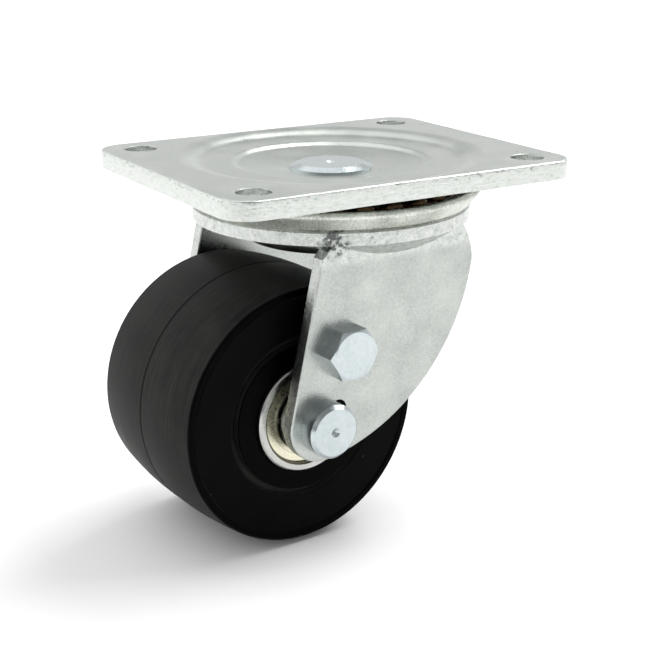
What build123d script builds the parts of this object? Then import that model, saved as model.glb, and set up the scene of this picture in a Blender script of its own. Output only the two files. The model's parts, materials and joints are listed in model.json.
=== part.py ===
from build123d import *
from math import acos, atan2, cos, degrees, hypot, radians, sin, tan
import os

# Low-profile swivel plate caster, millimetres, +Z up.
# The origin is the centre of the top plate's mounting face, on the swivel axis.
# X runs along the plate's long side. The fork stands at rest turned by FORK_YAW,
# with its wheel trailing towards -X.

# Top plate
PLATE_LENGTH = 105.0
PLATE_WIDTH = 85.0
PLATE_THICKNESS = 5.0
PLATE_CORNER = 8.0
PLATE_EDGE_ROUND = 0.6
HOLE_RADIUS = 4.5
HOLE_SPACING_X = 84.0
HOLE_SPACING_Y = 66.0
HOLE_RIM = 0.4
DISH_RIM_RADIUS = 48.0
DISH_WALL_RADIUS = 38.4
DISH_WALL_DEPTH = 0.75
ANNULUS_DEPTH = 1.75
ANNULUS_OUTER_RADIUS = 35.0
ANNULUS_INNER_RADIUS = 28.0
FLOOR_DEPTH = 2.8
FLOOR_OUTER_RADIUS = 25.0
SEAT_DEPTH = 4.0
SEAT_RADIUS = 12.5

# Kingpin
PIN_NECK_RADIUS = 7.0
PIN_SHANK_RADIUS = 7.5
PIN_HEAD_RADIUS = 11.3
PIN_HEAD_TOP_RADIUS = 8.9
PIN_HEAD_HEIGHT = 1.5
PIN_FOOT_RADIUS = 10.0
PIN_FOOT_HEIGHT = 3.2
PUNCH_RADIUS = 1.3
PUNCH_DEPTH = 0.9

# Swivel ball rows
UPPER_BALL_RADIUS = 3.0
UPPER_BALL_PITCH = 33.5
UPPER_BALL_Z = -8.8
UPPER_BALL_COUNT = 27
LOWER_BALL_RADIUS = 2.38
LOWER_BALL_PITCH = 20.5
LOWER_BALL_Z = -18.8
LOWER_BALL_COUNT = 24
BALL_CLEARANCE = 0.06

# Fork, drawn from one steel sheet
FORK_YAW = 3.0
SHEET = 4.2
YOKE_TOP_Z = -12.5
YOKE_RADIUS = 38.5
YOKE_BORE_RADIUS = 8.3
YOKE_EDGE_CHAMFER = 0.9
LEG_INNER = 28.0
SHOULDER_TURN_Z = -15.2
SHOULDER_BASE_Z = -21.2
LEG_TOP_HALF = 20.8
LEG_TOP_Z = -16.0
LEG_EDGE_ROUND = 0.5
TRAIL = 24.4
AXLE_DROP = 64.5
TOE_RADIUS = 10.0
REAR_RADIUS = 56.6
REAR_END_ANGLE = -81.5
REAR_START_ANGLE = -9.6
BOLT_OFFSET_U = 6.6
BOLT_OFFSET_Z = 19.6
NOTCH_RADIUS = 2.6
NOTCH_OFFSET = 6.0
NOTCH_ANGLE = 39.0

# Race ring and lower ball cup
RING_LIP_RADIUS = 41.5
RING_LIP_Z = -8.2
RING_BORE_RADIUS = 29.5
RING_SHELF_Z = -10.8
CUP_RADIUS = 25.8
CUP_TOP_Z = -17.2
CUP_FLOOR_Z = -23.0

# Wheel
WHEEL_RADIUS = 36.8
WHEEL_HALF_WIDTH = 23.5
RIM_EDGE_RADIUS = 35.4
RIM_STEP_RADIUS = 33.0
WEB_SETBACK = 0.3
GROOVE_OUTER_RADIUS = 22.8
GROOVE_INNER_RADIUS = 20.5
GROOVE_DEPTH = 2.2
HUB_BORE_RADIUS = 12.5
PARTING_DEPTH = 0.3

# Wheel bearings, 10 x 30 x 9, one at each side
BEARING_BORE = 5.0
BEARING_RADIUS = 15.0
BEARING_WIDTH = 9.0
BEARING_FACE = 25.0
BEARING_PITCH = 10.0
BEARING_BALL_RADIUS = 2.38
BEARING_BALL_COUNT = 8
INNER_LAND_RADIUS = 8.4
OUTER_LAND_RADIUS = 11.9
REBATE_RADIUS = 13.2
REBATE_DEPTH = 1.5
SHIELD_THICKNESS = 0.45
SHIELD_BORE = 8.9
SNAP_RING_WIDTH = 0.6
SNAP_RING_GAP = 14.0
CAGE_HALF_WIDTH = 3.0
CAGE_INNER_RADIUS = 9.3
CAGE_OUTER_RADIUS = 10.7
POCKET_CLEARANCE = 0.12

# Axle and fasteners
AXLE_HEAD_RADIUS = 7.3
AXLE_HEAD_HEIGHT = 5.8
AXLE_HEAD_CHAMFER = 0.9
SPACER_RADIUS = 8.0
WASHER_RADIUS = 10.0
WASHER_THICKNESS = 2.0
NUT_FLATS = 17.0
NUT_HEIGHT = 8.0
THREAD_PROUD = 2.0
BOLT_FLATS = 13.0
BOLT_HEAD_HEIGHT = 5.3
BOLT_RADIUS = 4.0
HEX_CHAMFER_ANGLE = 30.0

os.makedirs("parts", exist_ok=True)

fork_u = (cos(radians(FORK_YAW)), sin(radians(FORK_YAW)), 0)
fork_v = (-sin(radians(FORK_YAW)), cos(radians(FORK_YAW)), 0)
near = (-fork_v[0], -fork_v[1], 0)
far = fork_v
leg_outer = LEG_INNER + SHEET
axle_centre = (-TRAIL * fork_u[0], -TRAIL * fork_u[1], -AXLE_DROP)

# Swivel parts are turned about Z from profiles in the XZ plane. Wheel parts are
# turned about the axle from profiles in a level plane whose local X is the radius
# and local Y the distance along the axle, positive away from the near leg.
axle_section = Plane(origin=axle_centre, x_dir=fork_u, z_dir=(0, 0, 1))
axle_axis = Axis(axle_centre, fork_v)
# Local X of this plane is the fork's length, local Y is up, and +Z faces the near side.
fork_side = Plane(origin=(0, 0, 0), x_dir=fork_u, z_dir=near)
# Local X of this plane runs across the fork and local Y is up.
fork_end = Plane(origin=(0, 0, 0), x_dir=far, z_dir=fork_u)


def point_on_fork(u, v, z):
    """A point given along the fork, across it and up."""
    return (u * fork_u[0] + v * fork_v[0], u * fork_u[1] + v * fork_v[1], z)


def save(builder, name):
    builder.part.label = name
    export_step(builder.part, f"parts/{name}.step")


def outline(points, plane):
    """A closed straight-sided face on a plane."""
    with BuildSketch(plane) as face:
        with BuildLine():
            Polyline(*points, close=True)
        make_face()
    return face.sketch


# --- Swivel bearing ---------------------------------------------------------------

# The sheared outline, whose upper edge is rolled over a little.
with BuildPart() as plate_blank:
    with BuildSketch(Plane.XY.offset(-SEAT_DEPTH - PLATE_THICKNESS)):
        RectangleRounded(PLATE_LENGTH, PLATE_WIDTH, PLATE_CORNER)
    extrude(amount=SEAT_DEPTH + PLATE_THICKNESS)
    fillet(plate_blank.edges().group_by(Axis.Z)[-1], PLATE_EDGE_ROUND)

# The plate is pressed into a shallow dish: a rim that fades into the flat corners,
# a ring over the ball race, a second step and a floor that falls to the kingpin's seat.
with BuildPart() as top_plate:
    with BuildSketch(Plane.XZ):
        with BuildLine():
            for drop in (0, PLATE_THICKNESS):
                Line((PIN_NECK_RADIUS, -SEAT_DEPTH - drop), (SEAT_RADIUS, -SEAT_DEPTH - drop))
                Line((SEAT_RADIUS, -SEAT_DEPTH - drop), (FLOOR_OUTER_RADIUS, -FLOOR_DEPTH - drop))
                Spline(
                    (FLOOR_OUTER_RADIUS, -FLOOR_DEPTH - drop),
                    (ANNULUS_INNER_RADIUS, -ANNULUS_DEPTH - drop),
                    tangents=[(1, 0.1), (1, 0)],
                )
                Line(
                    (ANNULUS_INNER_RADIUS, -ANNULUS_DEPTH - drop),
                    (ANNULUS_OUTER_RADIUS, -ANNULUS_DEPTH - drop),
                )
                Spline(
                    (ANNULUS_OUTER_RADIUS, -ANNULUS_DEPTH - drop),
                    (DISH_WALL_RADIUS, -DISH_WALL_DEPTH - drop),
                    (DISH_RIM_RADIUS, -drop),
                    tangents=[(1, 0), (1, 0)],
                )
                Line((DISH_RIM_RADIUS, -drop), (PLATE_LENGTH, -drop))
            Line((PIN_NECK_RADIUS, -SEAT_DEPTH), (PIN_NECK_RADIUS, -SEAT_DEPTH - PLATE_THICKNESS))
            Line((PLATE_LENGTH, 0), (PLATE_LENGTH, -PLATE_THICKNESS))
        make_face()
    revolve(axis=Axis.Z)
    add(plate_blank.part, mode=Mode.INTERSECT)
    with BuildSketch(Plane.XZ):
        with Locations((UPPER_BALL_PITCH, UPPER_BALL_Z)):
            Circle(UPPER_BALL_RADIUS + BALL_CLEARANCE)
    revolve(axis=Axis.Z, mode=Mode.SUBTRACT)
    with GridLocations(HOLE_SPACING_X, HOLE_SPACING_Y, 2, 2):
        Hole(HOLE_RADIUS)
    hole_rims = top_plate.edges().filter_by(GeomType.CIRCLE).filter_by(
        lambda e: abs(e.radius - HOLE_RADIUS) < 0.01
    )
    fillet(hole_rims.filter_by_position(Axis.Z, -0.1, 0.1), HOLE_RIM)
save(top_plate, "top_plate")

# Preformed foot below, shank through cup and fork, neck riveted over in the dish.
pin_head_top = -SEAT_DEPTH + PIN_HEAD_HEIGHT
with BuildPart() as kingpin:
    pin_profile = outline(
        [
            (0, pin_head_top - PUNCH_DEPTH),
            (PUNCH_RADIUS, pin_head_top),
            (PIN_HEAD_TOP_RADIUS, pin_head_top),
            (PIN_HEAD_RADIUS, pin_head_top - 0.9),
            (PIN_HEAD_RADIUS, -SEAT_DEPTH),
            (PIN_NECK_RADIUS, -SEAT_DEPTH),
            (PIN_NECK_RADIUS, -SEAT_DEPTH - PLATE_THICKNESS),
            (PIN_SHANK_RADIUS, -SEAT_DEPTH - PLATE_THICKNESS),
            (PIN_SHANK_RADIUS, CUP_FLOOR_Z),
            (PIN_FOOT_RADIUS, CUP_FLOOR_Z),
            (PIN_FOOT_RADIUS, CUP_FLOOR_Z - 1.6),
            (PIN_FOOT_RADIUS - 2.0, CUP_FLOOR_Z - PIN_FOOT_HEIGHT),
            (0, CUP_FLOOR_Z - PIN_FOOT_HEIGHT),
        ],
        Plane.XZ,
    )
    revolve(pin_profile, axis=Axis.Z)
save(kingpin, "kingpin")

with BuildPart() as upper_swivel_balls:
    with PolarLocations(UPPER_BALL_PITCH, UPPER_BALL_COUNT):
        with Locations((0, 0, UPPER_BALL_Z)):
            Sphere(UPPER_BALL_RADIUS)
save(upper_swivel_balls, "upper_swivel_balls")

with BuildPart() as lower_swivel_balls:
    with PolarLocations(LOWER_BALL_PITCH, LOWER_BALL_COUNT):
        with Locations((0, 0, LOWER_BALL_Z)):
            Sphere(LOWER_BALL_RADIUS)
save(lower_swivel_balls, "lower_swivel_balls")

# A flared ring that sits on the fork and carries the upper ball track.
with BuildPart() as upper_race_ring:
    with BuildSketch(Plane.XZ):
        with BuildLine():
            Line((RING_BORE_RADIUS, YOKE_TOP_Z), (YOKE_RADIUS - 0.4, YOKE_TOP_Z))
            Spline(
                (YOKE_RADIUS - 0.4, YOKE_TOP_Z),
                (40.0, -10.9),
                (RING_LIP_RADIUS, -9.2),
                (RING_LIP_RADIUS - 0.5, RING_LIP_Z),
            )
            Polyline(
                (RING_LIP_RADIUS - 0.5, RING_LIP_Z),
                (RING_LIP_RADIUS - 3.5, RING_LIP_Z),
                (UPPER_BALL_PITCH + 2.9, UPPER_BALL_Z),
                (UPPER_BALL_PITCH, UPPER_BALL_Z),
                (UPPER_BALL_PITCH - 2.5, RING_SHELF_Z),
                (RING_BORE_RADIUS, RING_SHELF_Z),
                (RING_BORE_RADIUS, YOKE_TOP_Z),
            )
        make_face()
        with Locations((UPPER_BALL_PITCH, UPPER_BALL_Z)):
            Circle(UPPER_BALL_RADIUS + BALL_CLEARANCE, mode=Mode.SUBTRACT)
    revolve(axis=Axis.Z)
save(upper_race_ring, "upper_race_ring")

# A pressed bowl that hangs on the kingpin's foot and carries the lower balls.
with BuildPart() as lower_ball_cup:
    with BuildSketch(Plane.XZ):
        with BuildLine():
            Line((PIN_SHANK_RADIUS, CUP_FLOOR_Z), (CUP_RADIUS - 4.2, CUP_FLOOR_Z))
            ThreePointArc(
                (CUP_RADIUS - 4.2, CUP_FLOOR_Z),
                (CUP_RADIUS - 1.2, CUP_FLOOR_Z + 1.2),
                (CUP_RADIUS, CUP_FLOOR_Z + 4.0),
            )
            Line((CUP_RADIUS, CUP_FLOOR_Z + 4.0), (CUP_RADIUS, CUP_TOP_Z))
            Line((CUP_RADIUS, CUP_TOP_Z), (CUP_RADIUS - 2.0, CUP_TOP_Z))
            Line((CUP_RADIUS - 2.0, CUP_TOP_Z), (CUP_RADIUS - 3.5, CUP_FLOOR_Z + 2.5))
            Line((CUP_RADIUS - 3.5, CUP_FLOOR_Z + 2.5), (PIN_SHANK_RADIUS, CUP_FLOOR_Z + 2.5))
            Line((PIN_SHANK_RADIUS, CUP_FLOOR_Z + 2.5), (PIN_SHANK_RADIUS, CUP_FLOOR_Z))
        make_face()
        with Locations((LOWER_BALL_PITCH, LOWER_BALL_Z)):
            Circle(LOWER_BALL_RADIUS + BALL_CLEARANCE, mode=Mode.SUBTRACT)
    revolve(axis=Axis.Z)
save(lower_ball_cup, "lower_ball_cup")

# --- Fork -------------------------------------------------------------------------

yoke_under_z = YOKE_TOP_Z - SHEET
toe_centre = (-TRAIL, -AXLE_DROP)
front_top = (-24.6, -19.8)
rear_top = (23.9, -22.8)
to_front = (front_top[0] - toe_centre[0], front_top[1] - toe_centre[1])
toe_end_angle = (
    degrees(atan2(to_front[1], to_front[0])) + degrees(acos(TOE_RADIUS / hypot(*to_front))) - 360
)
rear_centre = (
    toe_centre[0] - (REAR_RADIUS - TOE_RADIUS) * cos(radians(REAR_END_ANGLE)),
    toe_centre[1] - (REAR_RADIUS - TOE_RADIUS) * sin(radians(REAR_END_ANGLE)),
)
rear_start = (
    rear_centre[0] + REAR_RADIUS * cos(radians(REAR_START_ANGLE)),
    rear_centre[1] + REAR_RADIUS * sin(radians(REAR_START_ANGLE)),
)

# The drawn shoulders: the sheet turns in from the yoke's round edge to each leg.
with BuildPart() as shoulders:
    with BuildSketch(Plane.XZ):
        with BuildLine():
            Polyline(
                (0, SHOULDER_BASE_Z),
                (0, YOKE_TOP_Z),
                (YOKE_RADIUS - YOKE_EDGE_CHAMFER, YOKE_TOP_Z),
                (YOKE_RADIUS, YOKE_TOP_Z - YOKE_EDGE_CHAMFER),
                (YOKE_RADIUS, SHOULDER_TURN_Z),
            )
            Spline(
                (YOKE_RADIUS, SHOULDER_TURN_Z),
                (YOKE_RADIUS - 1.5, SHOULDER_TURN_Z - 2.3),
                (leg_outer - 0.3, SHOULDER_BASE_Z),
                tangents=[(0, -1), (-1, -0.6)],
            )
            Line((leg_outer - 0.3, SHOULDER_BASE_Z), (0, SHOULDER_BASE_Z))
        make_face()
    revolve(axis=Axis.Z)
    with BuildSketch(fork_end):
        with Locations((-YOKE_RADIUS, YOKE_TOP_Z), (YOKE_RADIUS, YOKE_TOP_Z)):
            Rectangle(2 * (YOKE_RADIUS - LEG_INNER), 2 * (YOKE_TOP_Z - SHOULDER_BASE_Z))
    extrude(amount=YOKE_RADIUS, both=True, mode=Mode.INTERSECT)

with BuildPart() as fork_yoke:
    # The two legs share one outline.
    for start in (LEG_INNER, -leg_outer):
        with BuildSketch(fork_side.offset(start)):
            with BuildLine():
                CenterArc(
                    rear_centre,
                    REAR_RADIUS,
                    REAR_START_ANGLE,
                    REAR_END_ANGLE - REAR_START_ANGLE,
                )
                toe = CenterArc(
                    toe_centre,
                    TOE_RADIUS,
                    REAR_END_ANGLE,
                    toe_end_angle - REAR_END_ANGLE,
                )
                Polyline(
                    toe @ 1,
                    front_top,
                    (-LEG_TOP_HALF, LEG_TOP_Z),
                    (LEG_TOP_HALF, LEG_TOP_Z),
                )
                ThreePointArc((LEG_TOP_HALF, LEG_TOP_Z), rear_top, rear_start)
            make_face()
        extrude(amount=SHEET)
    across = Vector(*far)
    leg_rims = fork_yoke.edges().filter_by(lambda e: abs((e @ 0 - e @ 1).dot(across)) < 0.1)
    fillet(leg_rims.filter_by(lambda e: e.center().Z < SHOULDER_BASE_Z - SHEET), LEG_EDGE_ROUND)
    with BuildSketch(Plane.XY.offset(yoke_under_z)):
        Circle(YOKE_RADIUS)
    extrude(amount=SHEET)
    chamfer(fork_yoke.edges().group_by(Axis.Z)[-1], YOKE_EDGE_CHAMFER)
    add(shoulders.part)
    # Kingpin bore and the track for the lower balls.
    with Locations((0, 0, YOKE_TOP_Z)):
        Hole(YOKE_BORE_RADIUS, depth=SHEET)
    with BuildSketch(Plane.XZ):
        with Locations((LOWER_BALL_PITCH, LOWER_BALL_Z)):
            Circle(LOWER_BALL_RADIUS + BALL_CLEARANCE)
    revolve(axis=Axis.Z, mode=Mode.SUBTRACT)
    # Axle bore with its side notch through both legs, and the bolt's hole in the near one.
    with BuildSketch(fork_side.offset(-leg_outer - 1)):
        with Locations(toe_centre):
            Circle(BEARING_BORE)
            with PolarLocations(NOTCH_OFFSET, 1, start_angle=NOTCH_ANGLE):
                Circle(NOTCH_RADIUS)
    extrude(amount=2 * leg_outer + 2, mode=Mode.SUBTRACT)
    with BuildSketch(fork_side.offset(LEG_INNER - 1)):
        with Locations((toe_centre[0] + BOLT_OFFSET_U, toe_centre[1] + BOLT_OFFSET_Z)):
            Circle(BOLT_RADIUS)
    extrude(amount=SHEET + 2, mode=Mode.SUBTRACT)
save(fork_yoke, "fork_yoke")

# --- Axle and fasteners -----------------------------------------------------------


def turned(points):
    """A ring or shaft about the axle, from (radius, distance along the axle) points."""
    revolve(outline(points, axle_section), axis=axle_axis)


def hexagon(plane, across_flats, height, turn):
    """A hexagonal prism on a plane, with the corners of its free end turned to a cone."""
    with BuildSketch(plane) as hexagon_face:
        RegularPolygon(across_flats / 2, 6, major_radius=False, rotation=turn)
    with BuildSketch(plane) as cone_face:
        Circle(across_flats * 0.48 + height / tan(radians(HEX_CHAMFER_ANGLE)))
    extrude(hexagon_face.sketch, amount=height)
    extrude(cone_face.sketch, amount=height, taper=90 - HEX_CHAMFER_ANGLE, mode=Mode.INTERSECT)


nut_seat = leg_outer + WASHER_THICKNESS
thread_end = nut_seat + NUT_HEIGHT + THREAD_PROUD
head_face = -leg_outer - AXLE_HEAD_HEIGHT
with BuildPart() as axle:
    turned(
        [
            (0, head_face + PUNCH_DEPTH),
            (PUNCH_RADIUS, head_face),
            (AXLE_HEAD_RADIUS - AXLE_HEAD_CHAMFER, head_face),
            (AXLE_HEAD_RADIUS, head_face + AXLE_HEAD_CHAMFER),
            (AXLE_HEAD_RADIUS, -leg_outer),
            (BEARING_BORE, -leg_outer),
            (BEARING_BORE, thread_end - 1),
            (BEARING_BORE - 1, thread_end),
            (0, thread_end),
        ]
    )
save(axle, "axle")

with BuildPart() as axle_washer:
    turned(
        [
            (BEARING_BORE, leg_outer),
            (WASHER_RADIUS, leg_outer),
            (WASHER_RADIUS, nut_seat - 0.4),
            (WASHER_RADIUS - 0.4, nut_seat),
            (BEARING_BORE, nut_seat),
        ]
    )
save(axle_washer, "axle_washer")

nut_plane = Plane(
    origin=point_on_fork(-TRAIL, nut_seat, -AXLE_DROP), x_dir=fork_u, z_dir=far
)
with BuildPart() as axle_nut:
    hexagon(nut_plane, NUT_FLATS, NUT_HEIGHT, 0)
    with Locations(nut_plane):
        Hole(BEARING_BORE)
save(axle_nut, "axle_nut")

bolt_plane = Plane(
    origin=point_on_fork(BOLT_OFFSET_U - TRAIL, -leg_outer, BOLT_OFFSET_Z - AXLE_DROP),
    x_dir=fork_u,
    z_dir=near,
)
with BuildPart() as leg_bolt:
    hexagon(bolt_plane, BOLT_FLATS, BOLT_HEAD_HEIGHT, 0)
    with BuildSketch(bolt_plane.offset(-SHEET)):
        Circle(BOLT_RADIUS)
    extrude(amount=SHEET)
save(leg_bolt, "leg_bolt")

for side, toward in (("near", -1), ("far", 1)):
    with BuildPart() as axle_spacer:
        turned(
            [
                (BEARING_BORE, toward * BEARING_FACE),
                (SPACER_RADIUS, toward * BEARING_FACE),
                (SPACER_RADIUS, toward * LEG_INNER),
                (BEARING_BORE, toward * LEG_INNER),
            ]
        )
    save(axle_spacer, f"axle_spacer_{side}")

bearing_back = BEARING_FACE - BEARING_WIDTH
with BuildPart() as bearing_spacer_tube:
    turned(
        [
            (BEARING_BORE, -bearing_back),
            (SPACER_RADIUS, -bearing_back),
            (SPACER_RADIUS, bearing_back),
            (BEARING_BORE, bearing_back),
        ]
    )
save(bearing_spacer_tube, "bearing_spacer_tube")

# --- Wheel ------------------------------------------------------------------------

web_face = WHEEL_HALF_WIDTH - WEB_SETBACK
groove_floor = WHEEL_HALF_WIDTH - GROOVE_DEPTH
with BuildPart() as wheel:
    with BuildSketch(axle_section):
        with BuildLine():
            Polyline(
                (HUB_BORE_RADIUS, 0),
                (HUB_BORE_RADIUS, bearing_back),
                (BEARING_RADIUS, bearing_back),
                (BEARING_RADIUS, WHEEL_HALF_WIDTH - 0.5),
                (BEARING_RADIUS + 0.5, WHEEL_HALF_WIDTH),
                (GROOVE_INNER_RADIUS, WHEEL_HALF_WIDTH),
                (GROOVE_INNER_RADIUS + 0.4, groove_floor),
                (GROOVE_OUTER_RADIUS - 0.6, groove_floor),
                (GROOVE_OUTER_RADIUS, web_face),
                (RIM_STEP_RADIUS, web_face),
                (RIM_STEP_RADIUS + 0.5, WHEEL_HALF_WIDTH),
                (RIM_EDGE_RADIUS - 0.6, WHEEL_HALF_WIDTH),
                (RIM_EDGE_RADIUS, WHEEL_HALF_WIDTH - 0.6),
            )
            ThreePointArc(
                (RIM_EDGE_RADIUS, WHEEL_HALF_WIDTH - 0.6),
                (WHEEL_RADIUS - 0.2, WHEEL_HALF_WIDTH * 0.47),
                (WHEEL_RADIUS, 0.4),
            )
            Line((WHEEL_RADIUS, 0.4), (WHEEL_RADIUS - PARTING_DEPTH, 0))
            Line((WHEEL_RADIUS - PARTING_DEPTH, 0), (HUB_BORE_RADIUS, 0))
        make_face()
        mirror(about=Plane.XZ)
    revolve(axis=axle_axis)
save(wheel, "wheel")

# --- Wheel bearings ---------------------------------------------------------------

ball_track = BEARING_BALL_RADIUS + BALL_CLEARANCE
for side, toward in (("near", -1), ("far", 1)):
    outside = toward * BEARING_FACE
    middle = toward * (BEARING_FACE - BEARING_WIDTH / 2)
    inside = toward * (BEARING_FACE - BEARING_WIDTH)

    with BuildPart() as inner_ring:
        turned(
            [
                (BEARING_BORE, inside),
                (INNER_LAND_RADIUS, inside),
                (INNER_LAND_RADIUS, outside),
                (BEARING_BORE, outside),
            ]
        )
        with BuildSketch(axle_section):
            with Locations((BEARING_PITCH, middle)):
                Circle(ball_track)
        revolve(axis=axle_axis, mode=Mode.SUBTRACT)
    save(inner_ring, f"bearing_inner_ring_{side}")

    with BuildPart() as outer_ring:
        turned(
            [
                (OUTER_LAND_RADIUS, inside + toward * REBATE_DEPTH),
                (REBATE_RADIUS, inside + toward * REBATE_DEPTH),
                (REBATE_RADIUS, inside),
                (BEARING_RADIUS, inside),
                (BEARING_RADIUS, outside - toward * 0.4),
                (BEARING_RADIUS - 0.4, outside),
                (REBATE_RADIUS, outside),
                (REBATE_RADIUS, outside - toward * REBATE_DEPTH),
                (OUTER_LAND_RADIUS, outside - toward * REBATE_DEPTH),
            ]
        )
        with BuildSketch(axle_section):
            with Locations((BEARING_PITCH, middle)):
                Circle(ball_track)
        revolve(axis=axle_axis, mode=Mode.SUBTRACT)
    save(outer_ring, f"bearing_outer_ring_{side}")

    # A shield and its split retaining ring sit in the rebate on each face of the bearing.
    with BuildPart() as shields:
        for face, inward in ((outside, -toward), (inside, toward)):
            shield_seat = face + inward * REBATE_DEPTH
            turned(
                [
                    (SHIELD_BORE, shield_seat),
                    (REBATE_RADIUS, shield_seat),
                    (REBATE_RADIUS, shield_seat - inward * SHIELD_THICKNESS),
                    (SHIELD_BORE, shield_seat - inward * SHIELD_THICKNESS),
                ]
            )
    save(shields, f"bearing_shields_{side}")

    with BuildPart() as snap_rings:
        for face, inward in ((outside, -toward), (inside, toward)):
            ring_back = face + inward * (REBATE_DEPTH - SHIELD_THICKNESS)
            ring_profile = outline(
                [
                    (REBATE_RADIUS - SNAP_RING_WIDTH, ring_back),
                    (REBATE_RADIUS, ring_back),
                    (REBATE_RADIUS, ring_back - inward * SNAP_RING_WIDTH),
                    (REBATE_RADIUS - SNAP_RING_WIDTH, ring_back - inward * SNAP_RING_WIDTH),
                ],
                axle_section,
            )
            revolve(ring_profile, axis=axle_axis, revolution_arc=360 - SNAP_RING_GAP)
    save(snap_rings, f"bearing_snap_rings_{side}")

    ball_circle = Plane(
        origin=point_on_fork(-TRAIL, middle, -AXLE_DROP), x_dir=fork_u, z_dir=far
    )
    with BuildPart() as balls:
        with Locations(ball_circle):
            with PolarLocations(BEARING_PITCH, BEARING_BALL_COUNT):
                Sphere(BEARING_BALL_RADIUS)
    save(balls, f"bearing_balls_{side}")

    with BuildPart() as cage:
        turned(
            [
                (CAGE_INNER_RADIUS, middle - CAGE_HALF_WIDTH),
                (CAGE_OUTER_RADIUS, middle - CAGE_HALF_WIDTH),
                (CAGE_OUTER_RADIUS, middle + CAGE_HALF_WIDTH),
                (CAGE_INNER_RADIUS, middle + CAGE_HALF_WIDTH),
            ]
        )
        with Locations(ball_circle):
            with PolarLocations(BEARING_PITCH, BEARING_BALL_COUNT):
                Cylinder(
                    BEARING_BALL_RADIUS + POCKET_CLEARANCE,
                    BEARING_PITCH / 2,
                    rotation=(0, 90, 0),
                    mode=Mode.SUBTRACT,
                )
    save(cage, f"bearing_cage_{side}")
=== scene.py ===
import json
from math import ceil, cos, radians, sin, sqrt, tau

import bpy
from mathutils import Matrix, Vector, noise


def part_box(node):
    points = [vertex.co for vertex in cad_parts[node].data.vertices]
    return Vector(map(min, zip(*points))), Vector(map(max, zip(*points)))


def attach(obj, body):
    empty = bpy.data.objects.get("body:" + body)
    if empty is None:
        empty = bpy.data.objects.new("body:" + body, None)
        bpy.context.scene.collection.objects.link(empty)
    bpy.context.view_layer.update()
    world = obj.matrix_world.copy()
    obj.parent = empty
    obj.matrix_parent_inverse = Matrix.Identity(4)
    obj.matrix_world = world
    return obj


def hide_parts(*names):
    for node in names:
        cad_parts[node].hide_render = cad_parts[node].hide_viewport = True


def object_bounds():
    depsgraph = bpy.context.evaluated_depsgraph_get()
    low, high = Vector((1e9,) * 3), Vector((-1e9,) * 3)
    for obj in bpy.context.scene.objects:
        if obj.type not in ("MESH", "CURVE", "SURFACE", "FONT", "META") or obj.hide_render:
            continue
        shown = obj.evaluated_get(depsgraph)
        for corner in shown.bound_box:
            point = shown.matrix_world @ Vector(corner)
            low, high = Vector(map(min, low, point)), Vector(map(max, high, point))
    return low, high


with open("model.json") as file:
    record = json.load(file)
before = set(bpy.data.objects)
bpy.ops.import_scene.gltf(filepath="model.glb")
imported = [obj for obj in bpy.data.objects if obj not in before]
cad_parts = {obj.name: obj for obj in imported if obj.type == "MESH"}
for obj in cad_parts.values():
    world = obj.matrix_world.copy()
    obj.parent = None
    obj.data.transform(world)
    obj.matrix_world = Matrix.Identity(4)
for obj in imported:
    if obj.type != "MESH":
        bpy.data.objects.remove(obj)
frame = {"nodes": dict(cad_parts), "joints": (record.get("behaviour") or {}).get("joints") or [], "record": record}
cad_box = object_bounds()
nodes = frame["nodes"]
joints = {joint["name"]: joint for joint in frame["joints"]}

MM = 0.001
ORIGIN = (0, 0, 0)
UP = (0, 0, 1)
DOWN = (0, 0, -1)

# View: where the camera stands, and how far its centre is off the target.
VIEW_AZIMUTH = -31.33
VIEW_ELEVATION = 17.83
VIEW_TARGET = Vector((0, 0, -0.045))
VIEW_DISTANCE = 0.39217
VIEW_ASIDE = -0.00158
VIEW_RAISE = -0.00455
LENS = 76.3
SENSOR = 36.0

# Studio. The sky's brightness goes from straight down, 0, through the horizon, 0.5, to 1.
# Suns: where the light comes from, its spread in degrees and its strength.
FLOOR_HALF = 8.0
FLOOR_COLOUR = (0.95, 0.95, 0.95, 1)
SKY = [(0.5, 1.0), (0.57, 1.0), (0.64, 0.82), (0.74, 0.55), (0.9, 0.3)]
SUNS = {"key": ((0.75, 0.1, 0.9), 45, 3.0), "overhead": ((-0.5, 0.6, 1.0), 90, 1.7)}
DIM_DROP = 1.2
DIM_START = 0.4
DIM_FULL = 0.92
DIM_LEVEL = 0.1
WHITE = (1, 1, 1, 1)

# Fork and bearing details. The crease is the fold line under the yoke's edge.
CREASE_DROP = 8.7 * MM
LEG_TOP_HALF = 20.8 * MM
YOKE_RADIUS = 38.5 * MM
# How far below the yoke's top the painted dark reflection in the legs' front corners sits.
DARK_REFLECTION_DROP = 3.4 * MM
SHIELD_BORE = 8.9 * MM
SHIELD_RIM = 13.2 * MM

# Race ring section: insets are measured from its lip, inwards.
RING_INSET = 12.0 * MM
FOOT_INSET = 2.9 * MM
FOOT_BEVEL = 0.3 * MM
FOOT_HEIGHT = 0.4 * MM
LIP_RISE = 0.8 * MM
LIP_ROLL = 1.2 * MM
TRACK_INSET = 3.6 * MM
TRACK_DROP = 0.2 * MM
TRACK_GAP = 0.1 * MM
RING_STEP = 0.5 * MM
RING_TURNS = 640

# Grease: an oval bead just outside and below the ball centres.
GREASE_OUT = 1.2 * MM
GREASE_DOWN = 0.6 * MM
GREASE_WIDTH = 1.5
GREASE_HEIGHT = 1.1
GREASE_TURNS = 360

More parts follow.
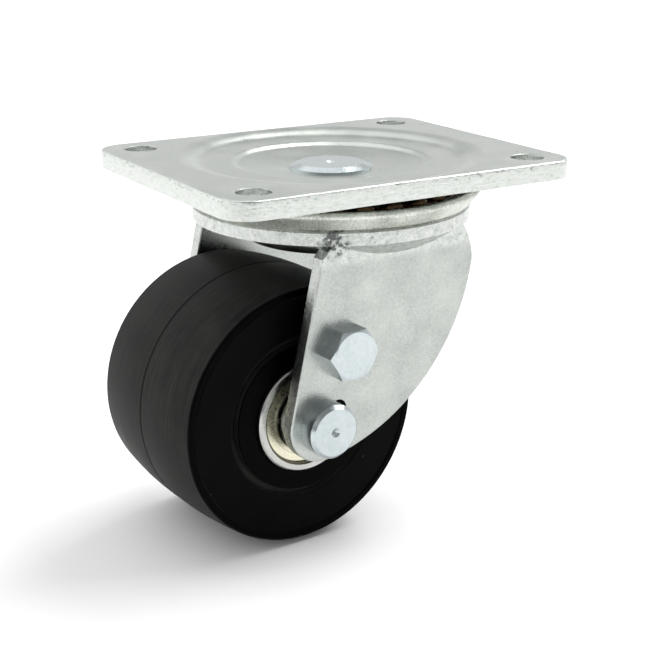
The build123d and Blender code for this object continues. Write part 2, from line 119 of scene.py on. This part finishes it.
# Metals: dark and light tone, roughness, and the size and depth of the grain in millimetres.
METALS = {
    "zinc_plated_steel": ((0.4, 0.42, 0.395), (0.53, 0.55, 0.52), 0.3, 0.6, 0.05),
    "plate_zinc": ((0.42, 0.46, 0.435), (0.57, 0.59, 0.56), 0.3, 0.6, 0.05),
    "fork_zinc": ((0.33, 0.35, 0.335), (0.49, 0.51, 0.485), 0.27, 0.6, 0.05),
    "bright_pin_steel": ((0.42, 0.47, 0.48), (0.54, 0.59, 0.6), 0.24, 1.2, 0.03),
    "ring_steel": ((0.22, 0.235, 0.2), (0.74, 0.76, 0.7), 0.34, 0.6, 0.2),
    "bearing_steel": ((0.4, 0.4, 0.385), (0.54, 0.54, 0.52), 0.24, 0.5, 0.005),
    "greased_balls": ((0.015, 0.008, 0.004), (0.07, 0.045, 0.025), 0.12, 2.0, 0.01),
}
PIT_TONE = (0.03, 0.035, 0.035)
TORN_TONE = (0.66, 0.68, 0.66)

# The axle runs through this point along this direction.
axle_centre = Vector(joints["wheel_spin"]["pos_m"])
across_fork = Vector(joints["wheel_spin"]["axis"])
along_fork = across_fork.cross(Vector(UP))
yoke_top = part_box("fork_yoke")[1].z
crease = yoke_top - CREASE_DROP


def reach(node, origin, direction):
    """How far a CAD node reaches from origin along a direction, in metres."""
    return max((vertex.co - origin).dot(direction) for vertex in nodes[node].data.vertices)


wheel_half = reach("wheel", axle_centre, across_fork)


def upper_ball_track():
    """The upper balls' radius, and their centres' distance from the swivel axis and height."""
    low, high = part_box("upper_swivel_balls")
    ball_radius = (high.z - low.z) / 2
    return ball_radius, high.x - ball_radius, (high.z + low.z) / 2


# --- Node helpers -------------------------------------------------------------------


def add_node(tree, kind, settings=None, **links):
    """A node with its settings and inputs. An input is a constant or another node's output.
    It is named by its label, with _ for a space, or by its number, as _0."""
    node = tree.nodes.new(kind)
    for name, value in (settings or {}).items():
        setattr(node, name, value)
    for name, value in links.items():
        socket = node.inputs[int(name[1:])] if name[0] == "_" else node.inputs[name.replace("_", " ")]
        set_input(tree, socket, value)
    return node


def set_input(tree, socket, value):
    if isinstance(value, bpy.types.NodeSocket):
        tree.links.new(value, socket)
    else:
        socket.default_value = value


def ramp(tree, factor, stops):
    """A colour ramp from (position, grey or colour) stops."""
    node = add_node(tree, "ShaderNodeValToRGB", Fac=factor)
    elements = node.color_ramp.elements
    while len(elements) < len(stops):
        elements.new(0.5)
    for element, (position, colour) in zip(elements, stops):
        element.position = position
        shade = (colour,) * 3 if isinstance(colour, (int, float)) else colour
        element.color = (*shade, 1)
    return node.outputs["Color"]


def mix(tree, factor, first, second):
    """A colour between first and second. The colour sockets of a Mix node are 6 and 7."""
    node = add_node(tree, "ShaderNodeMix", {"data_type": "RGBA"}, _0=factor, _6=first, _7=second)
    return node.outputs[2]


def combine(tree, operation, first, second):
    return add_node(tree, "ShaderNodeMath", {"operation": operation}, _0=first, _1=second).outputs[0]


def absolute(tree, value):
    return combine(tree, "ABSOLUTE", value, 0.0)


def weighted(tree, first, first_share, second):
    """first and second added up, by their shares of 1."""
    one = combine(tree, "MULTIPLY", first, first_share)
    other = combine(tree, "MULTIPLY", second, 1 - first_share)
    return combine(tree, "ADD", one, other)


def vector_math(tree, operation, first, second=ORIGIN):
    """A vector operation: a number for DOT_PRODUCT, DISTANCE and LENGTH, else a vector."""
    node = add_node(tree, "ShaderNodeVectorMath", {"operation": operation}, _0=first, _1=second)
    kind = "Value" if operation in ("DOT_PRODUCT", "DISTANCE", "LENGTH") else "Vector"
    return node.outputs[kind]


def scale_vector(tree, vector, scale):
    node = add_node(tree, "ShaderNodeVectorMath", {"operation": "SCALE"}, _0=vector, Scale=scale)
    return node.outputs["Vector"]


def scaled(tree, value, low, high, out_low, out_high):
    """value eased from out_low at low to out_high at high."""
    return add_node(
        tree,
        "ShaderNodeMapRange",
        {"interpolation_type": "SMOOTHSTEP"},
        Value=value,
        From_Min=low,
        From_Max=high,
        To_Min=out_low,
        To_Max=out_high,
    ).outputs["Result"]


def speckle(tree, place, size, detail=3.0, roughness=0.55):
    """Noise whose lumps are about the given size, in metres."""
    return add_node(
        tree,
        "ShaderNodeTexNoise",
        Vector=place,
        Scale=1 / size,
        Detail=detail,
        Roughness=roughness,
    ).outputs["Fac"]


def bump(tree, height, depth, normal=None):
    """Raises the surface by height times depth, in metres."""
    links = {"Height": height, "Distance": depth, "Strength": 1.0}
    if normal is not None:
        links["Normal"] = normal
    return add_node(tree, "ShaderNodeBump", **links).outputs["Normal"]


def distance_along(tree, place, origin, direction):
    """How far a point is from origin along a direction, in metres."""
    return vector_math(tree, "DOT_PRODUCT", vector_math(tree, "SUBTRACT", place, origin), direction)


def facing_along(tree, place, direction):
    """How squarely the surface faces along a direction, either way: 1 is square on."""
    return absolute(tree, vector_math(tree, "DOT_PRODUCT", place.outputs["Normal"], direction))


def height_above(tree, place, level, fade):
    """0 below a level and 1 above it, in metres."""
    z = add_node(tree, "ShaderNodeSeparateXYZ", Vector=place.outputs["Object"]).outputs["Z"]
    return scaled(tree, z, level - fade, level + fade, 0.0, 1.0)


def streaked(tree, place, direction, fine, long):
    """Noise drawn out square to a direction: fine lumps along it, long ones across it."""
    along = distance_along(tree, place, ORIGIN, direction)
    stretch = combine(tree, "MULTIPLY", along, 1 / fine - 1 / long)
    drawn = vector_math(
        tree, "ADD", scale_vector(tree, place, 1 / long), scale_vector(tree, direction, stretch)
    )
    return speckle(tree, drawn, 1.0, roughness=0.6)


# --- Camera, floor and light --------------------------------------------------------


def make_camera():
    azimuth = radians(VIEW_AZIMUTH)
    elevation = radians(VIEW_ELEVATION)
    back = Vector((sin(azimuth) * cos(elevation), -cos(azimuth) * cos(elevation), sin(elevation)))
    aside = Vector((cos(azimuth), sin(azimuth), 0))
    upward = back.cross(aside)
    data = bpy.data.cameras.new("camera")
    data.lens = LENS
    data.sensor_width = SENSOR
    data.clip_start = 0.01
    camera = bpy.data.objects.new("camera", data)
    camera.location = VIEW_TARGET + aside * VIEW_ASIDE + upward * VIEW_RAISE + back * VIEW_DISTANCE
    camera.rotation_euler = (-back).to_track_quat("-Z", "Y").to_euler()
    bpy.context.scene.collection.objects.link(camera)
    bpy.context.scene.camera = camera


def make_suns():
    """Soft even lights, each spread over a wide angle."""
    for name, (source, spread, strength) in SUNS.items():
        data = bpy.data.lights.new(name, "SUN")
        data.angle = radians(spread)
        data.energy = strength
        light = bpy.data.objects.new(name, data)
        light.rotation_euler = Vector(source).to_track_quat("Z", "Y").to_euler()
        bpy.context.scene.collection.objects.link(light)


def make_world():
    """A white studio: bright at the horizon, softer overhead, and dim low down behind the
    main camera. The background itself is plain white."""
    world = bpy.data.worlds.new("studio")
    world.use_nodes = True
    bpy.context.scene.world = world
    tree = world.node_tree
    background = tree.nodes["Background"]
    direction = add_node(tree, "ShaderNodeTexCoord").outputs["Generated"]
    height = add_node(tree, "ShaderNodeSeparateXYZ", Vector=direction).outputs["Z"]
    lift = add_node(tree, "ShaderNodeMapRange", Value=height, From_Min=-1.0).outputs["Result"]
    sky = ramp(tree, lift, SKY)
    azimuth = radians(VIEW_AZIMUTH)
    facing = vector_math(tree, "DOT_PRODUCT", direction, (sin(azimuth), -cos(azimuth), -DIM_DROP))
    dim = scaled(tree, facing, DIM_START, DIM_FULL, 1.0, DIM_LEVEL)
    seen = add_node(tree, "ShaderNodeLightPath").outputs["Is Camera Ray"]
    tree.links.new(mix(tree, seen, sky, WHITE), background.inputs["Color"])
    tree.links.new(combine(tree, "MAXIMUM", dim, seen), background.inputs["Strength"])


def link_mesh(name, mesh, material):
    piece = bpy.data.objects.new(name, mesh)
    bpy.context.scene.collection.objects.link(piece)
    piece.data.materials.append(material)
    return piece


def make_floor():
    lowest = cad_box[0][2]
    mesh = bpy.data.meshes.new("floor")
    corners = [(-1, -1), (1, -1), (1, 1), (-1, 1)]
    mesh.from_pydata([(x * FLOOR_HALF, y * FLOOR_HALF, lowest) for x, y in corners], [], [(0, 1, 2, 3)])
    material = bpy.data.materials.new("floor")
    material.use_nodes = True
    shader = material.node_tree.nodes["Principled BSDF"]
    shader.inputs["Base Color"].default_value = FLOOR_COLOUR
    shader.inputs["Roughness"].default_value = 0.9
    shader.inputs["Specular IOR Level"].default_value = 0.1
    link_mesh("floor", mesh, material)


# --- Materials ----------------------------------------------------------------------


def start_material(name):
    material = bpy.data.materials.new(name)
    material.use_nodes = True
    tree = material.node_tree
    place = add_node(tree, "ShaderNodeTexCoord")
    return material, tree, tree.nodes["Principled BSDF"], place


def steel(name, torn_where=None, torn_depth=0.0):
    """Plated steel: cloudy colour, fine grain and uneven gloss. torn_where(tree, place) gives a
    mask of torn or hammered metal, which is coarser and flecked, and the noise that shapes it."""
    dark, light, roughness, grain_size, grain_depth = METALS[name]
    material, tree, shader, place = start_material(name)
    where = place.outputs["Object"]
    clouds = speckle(tree, where, 11 * MM)
    grain = speckle(tree, where, grain_size * MM, detail=4.0, roughness=0.65)
    colour = ramp(tree, weighted(tree, clouds, 0.5, grain), [(0.34, dark), (0.64, light)])
    gloss = scaled(tree, clouds, 0.3, 0.7, roughness - 0.03, roughness + 0.03)
    normal = bump(tree, grain, grain_depth * MM)
    if torn_where:
        mask, lumps = torn_where(tree, place)
        coarse = speckle(tree, where, 0.8 * MM, detail=5.0, roughness=0.7)
        torn = weighted(tree, coarse, 0.5, lumps)
        flecked = ramp(tree, torn, [(0.26, PIT_TONE), (0.36, dark), (0.44, light), (0.62, TORN_TONE)])
        colour = mix(tree, mask, colour, flecked)
        normal = bump(tree, combine(tree, "MULTIPLY", torn, mask), torn_depth, normal)
    tree.links.new(colour, shader.inputs["Base Color"])
    tree.links.new(gloss, shader.inputs["Roughness"])
    tree.links.new(normal, shader.inputs["Normal"])
    shader.inputs["Metallic"].default_value = 1.0
    return material


def torn_plate_edge(tree, place):
    """The sheared sides of the top plate, in layers, with more pits near the top."""
    mask = scaled(tree, facing_along(tree, place, UP), 0.5, 0.95, 0.85, 0.0)
    near_top = combine(tree, "MULTIPLY", height_above(tree, place, -1.4 * MM, 0.8 * MM), 0.13)
    layers = streaked(tree, place.outputs["Object"], UP, 0.7 * MM, 2.2 * MM)
    return mask, combine(tree, "SUBTRACT", layers, near_top)


def torn_fork_edge(tree, place):
    """The sheared edges of the legs, and the hammered bend under the yoke's edge, with a painted dark reflection
    in the legs' front corners.
    """
    where = place.outputs["Object"]
    edge = scaled(tree, facing_along(tree, place, across_fork), 0.3, 0.95, 0.5, 0.0)
    above_crease = height_above(tree, place, crease - 0.5 * MM, 1.2 * MM)
    upright = scaled(tree, facing_along(tree, place, UP), 0.9, 0.98, 1.0, 0.0)
    bend = combine(tree, "MULTIPLY", combine(tree, "MULTIPLY", above_crease, upright), 0.8)
    # The lumps carry the painted dark reflection in the legs' front corners, which darkens the flecks there.
    lumps = combine(tree, "SUBTRACT", speckle(tree, where, 1.8 * MM), corner_dark_reflection(tree, where))
    return combine(tree, "MAXIMUM", edge, bend), lumps


def corner_dark_reflection(tree, where):
    """Painted dark reflection: dark blotches where the yoke's edge folds down into the legs' front corners."""
    along = distance_along(tree, where, ORIGIN, along_fork)
    across = absolute(tree, distance_along(tree, where, ORIGIN, across_fork))
    drop = distance_along(tree, where, (0, 0, yoke_top), DOWN)
    offset = add_node(tree, "ShaderNodeCombineXYZ", X=along, Y=across, Z=drop).outputs["Vector"]
    corner = (-LEG_TOP_HALF, sqrt(YOKE_RADIUS**2 - LEG_TOP_HALF**2), DARK_REFLECTION_DROP)
    patch = scaled(tree, vector_math(tree, "DISTANCE", offset, corner), 1.8 * MM, 5.5 * MM, 0.6, 0.0)
    blotches = scaled(tree, speckle(tree, where, 1.3 * MM), 0.38, 0.56, 0.25, 1.0)
    return combine(tree, "MULTIPLY", patch, blotches)


def nylon():
    """Black nylon: a dull turned tread with faint lines round it, and the wheel's flat faces painted far darker
    than the tread as painted shade, with dust specks.
    """
    material, tree, shader, place = start_material("black_nylon")
    where = place.outputs["Object"]
    scuffs = speckle(tree, where, 9 * MM)
    lines = streaked(tree, where, across_fork, 0.3 * MM, 20 * MM)
    aside = absolute(tree, distance_along(tree, where, axle_centre, across_fork))
    on_side = scaled(tree, aside, wheel_half - 0.8 * MM, wheel_half - 0.2 * MM, 0.0, 1.0)
    wear = weighted(tree, scuffs, 0.35, lines)
    tread = ramp(tree, wear, [(0.35, (0.009, 0.009, 0.0092)), (0.65, (0.03, 0.0296, 0.028))])
    dust = scaled(tree, speckle(tree, where, 1.1 * MM, detail=2.0), 0.74, 0.8, 0.0, 1.0)
    # Painted shade: the wheel's flat faces get a colour far darker than the tread's nylon, with real dust specks
    # mixed in below.
    shaded_side = ramp(tree, scuffs, [(0.3, (0.0001, 0.0001, 0.0002)), (0.7, (0.0006, 0.0006, 0.0008))])
    shaded_side = mix(tree, dust, shaded_side, (0.06, 0.06, 0.06, 1))
    tree.links.new(mix(tree, on_side, tread, shaded_side), shader.inputs["Base Color"])
    tree.links.new(scaled(tree, wear, 0.35, 0.65, 0.34, 0.5), shader.inputs["Roughness"])
    tree.links.new(bump(tree, lines, 0.04 * MM), shader.inputs["Normal"])
    shader.inputs["Specular IOR Level"].default_value = 0.03
    return material


def shield_steel():
    """The bearing shields: pale gold, with painted shade at the bore and at the rim, and one stamped groove drawn
    as a thin ring of painted shade.
    """
    material, tree, shader, place = start_material("shield_steel")
    where = place.outputs["Object"]
    offset = vector_math(tree, "SUBTRACT", where, axle_centre)
    radius = vector_math(tree, "LENGTH", vector_math(tree, "CROSS_PRODUCT", offset, across_fork))
    outward = add_node(
        tree, "ShaderNodeMapRange", Value=radius, From_Min=SHIELD_BORE, From_Max=SHIELD_RIM
    ).outputs["Result"]
    gold = (0.72, 0.69, 0.54)
    groove_shade = (0.4, 0.38, 0.3)
    shadow = (0.1, 0.095, 0.07)
    # Painted shade: the dark bore, the dark rim and the thin dark groove ring stand in for shade on the gold.
    rings = [(0.0, shadow), (0.07, shadow), (0.12, gold), (0.31, gold), (0.34, groove_shade), (0.38, gold)]
    rings += [(0.8, gold), (0.85, shadow), (1.0, shadow)]
    grain = speckle(tree, where, 0.6 * MM)
    tree.links.new(ramp(tree, outward, rings), shader.inputs["Base Color"])
    tree.links.new(scaled(tree, grain, 0.3, 0.7, 0.24, 0.36), shader.inputs["Roughness"])
    tree.links.new(bump(tree, grain, 0.006 * MM), shader.inputs["Normal"])
    shader.inputs["Metallic"].default_value = 1.0
    return material


def grease_material():
    """Old brown grease, smeared and glossy."""
    material, tree, shader, place = start_material("grease")
    smears = speckle(tree, place.outputs["Object"], 2 * MM)
    brown = ramp(tree, smears, [(0.3, (0.02, 0.006, 0.002)), (0.7, (0.09, 0.035, 0.01))])
    tree.links.new(brown, shader.inputs["Base Color"])
    tree.links.new(scaled(tree, smears, 0.3, 0.7, 0.2, 0.4), shader.inputs["Roughness"])
    tree.links.new(bump(tree, smears, 0.3 * MM), shader.inputs["Normal"])
    return material


def finish_nodes():
    """Gives every CAD node the material of its slot in the record, or its own variant of it."""
    plain = ("zinc_plated_steel", "bright_pin_steel", "ring_steel", "bearing_steel", "greased_balls")
    finishes = {name: steel(name) for name in plain}
    finishes["shield_steel"] = shield_steel()
    finishes["black_nylon"] = nylon()
    own = {
        "top_plate": steel("plate_zinc", torn_plate_edge, 0.3 * MM),
        "fork_yoke": steel("fork_zinc", torn_fork_edge, 0.5 * MM),
    }
    for subpart in frame["record"]["subparts"]:
        piece = nodes[subpart["node"]]
        material = own.get(subpart["node"], finishes[subpart["material_slot"]])
        if not piece.material_slots:
            piece.data.materials.append(material)
        for slot in piece.material_slots:
            slot.material = material
    return finishes


# --- Race ring and grease -----------------------------------------------------------


def arc(start, end, count):
    """Angles in radians from start to end, given in degrees."""
    return [radians(start + (end - start) * index / (count - 1)) for index in range(count)]


def resampled(outline, step):
    """Points along a closed outline, no further apart than step."""
    points = []
    for start, end in zip(outline, outline[1:] + outline[:1]):
        count = max(1, ceil((end - start).length / step))
        points += [start.lerp(end, index / count) for index in range(count)]
    return points


def lathe(name, outline, turns, material, relief):
    """A closed ring about the swivel axis from (radius, height) points. relief(point) is how far a
    point stands out from the clean shape."""
    count = len(outline)
    ring = []
    for index, point in enumerate(outline):
        tangent = outline[(index + 1) % count] - outline[index - 1]
        ring.append((point, Vector((tangent.y, -tangent.x)).normalized()))
    points = []
    for turn in range(turns):
        angle = tau * turn / turns
        for point, outward in ring:
            out = Vector((cos(angle) * outward.x, sin(angle) * outward.x, outward.y))
            clean = Vector((cos(angle) * point.x, sin(angle) * point.x, point.y))
            points.append(clean + out * relief(clean))
    faces = [
        (
            turn * count + index,
            (turn + 1) % turns * count + index,
            (turn + 1) % turns * count + (index + 1) % count,
            turn * count + (index + 1) % count,
        )
        for turn in range(turns)
        for index in range(count)
    ]
    mesh = bpy.data.meshes.new(name)
    mesh.from_pydata(points, [], faces)
    mesh.shade_smooth()
    mesh.update()
    return link_mesh(name, mesh, material)


def ring_outline():
    """The race ring's section: a flat foot, a flared lip and the track for the balls."""
    low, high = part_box("upper_race_ring")
    ball_radius, pitch, level = upper_ball_track()
    track = Vector((pitch, level))
    lip = high.x
    outline = [
        Vector((lip - RING_INSET, low.z)),
        Vector((lip - FOOT_INSET, low.z)),
        Vector((lip - FOOT_INSET + FOOT_BEVEL, low.z + FOOT_HEIGHT)),
    ]
    roll = Vector((lip - LIP_ROLL, high.z + LIP_RISE - LIP_ROLL))
    outline += [roll + Vector((cos(turn), sin(turn))) * LIP_ROLL for turn in arc(-30, 110, 11)]
    outline += [Vector((lip - TRACK_INSET, high.z - TRACK_DROP))]
    groove = ball_radius + TRACK_GAP
    outline += [track + Vector((cos(turn), sin(turn))) * groove for turn in arc(5, -125, 12)]
    outline += [Vector((lip - RING_INSET, level - 2 * MM))]
    return outline


def make_race_ring(material):
    """The rough forged ring in place of its clean CAD node."""

    def relief(point):
        lumps = noise.noise(point / (7 * MM)) * 0.08 * MM
        pits = noise.noise(point / (0.8 * MM)) * 0.06 * MM
        return lumps + pits

    ring = lathe("race_ring", resampled(ring_outline(), RING_STEP), RING_TURNS, material, relief)
    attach(ring, "fork")
    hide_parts("upper_race_ring")


def make_grease(material):
    """Old grease packed round the upper balls, in the gap between the plate and the ring."""
    _, pitch, level = upper_ball_track()
    centre = Vector((pitch + GREASE_OUT, level - GREASE_DOWN))
    outline = [
        centre + Vector((cos(turn) * GREASE_WIDTH, sin(turn) * GREASE_HEIGHT)) * MM
        for turn in arc(0, 345, 24)
    ]

    def relief(point):
        return noise.noise(point / (3 * MM)) * 0.5 * MM

    grease = lathe("swivel_grease", outline, GREASE_TURNS, material, relief)
    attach(grease, "fork")


make_world()
make_floor()
make_camera()
make_suns()
bpy.context.scene.view_settings.view_transform = "Standard"

finishes = finish_nodes()
make_race_ring(finishes["ring_steel"])
make_grease(grease_material())
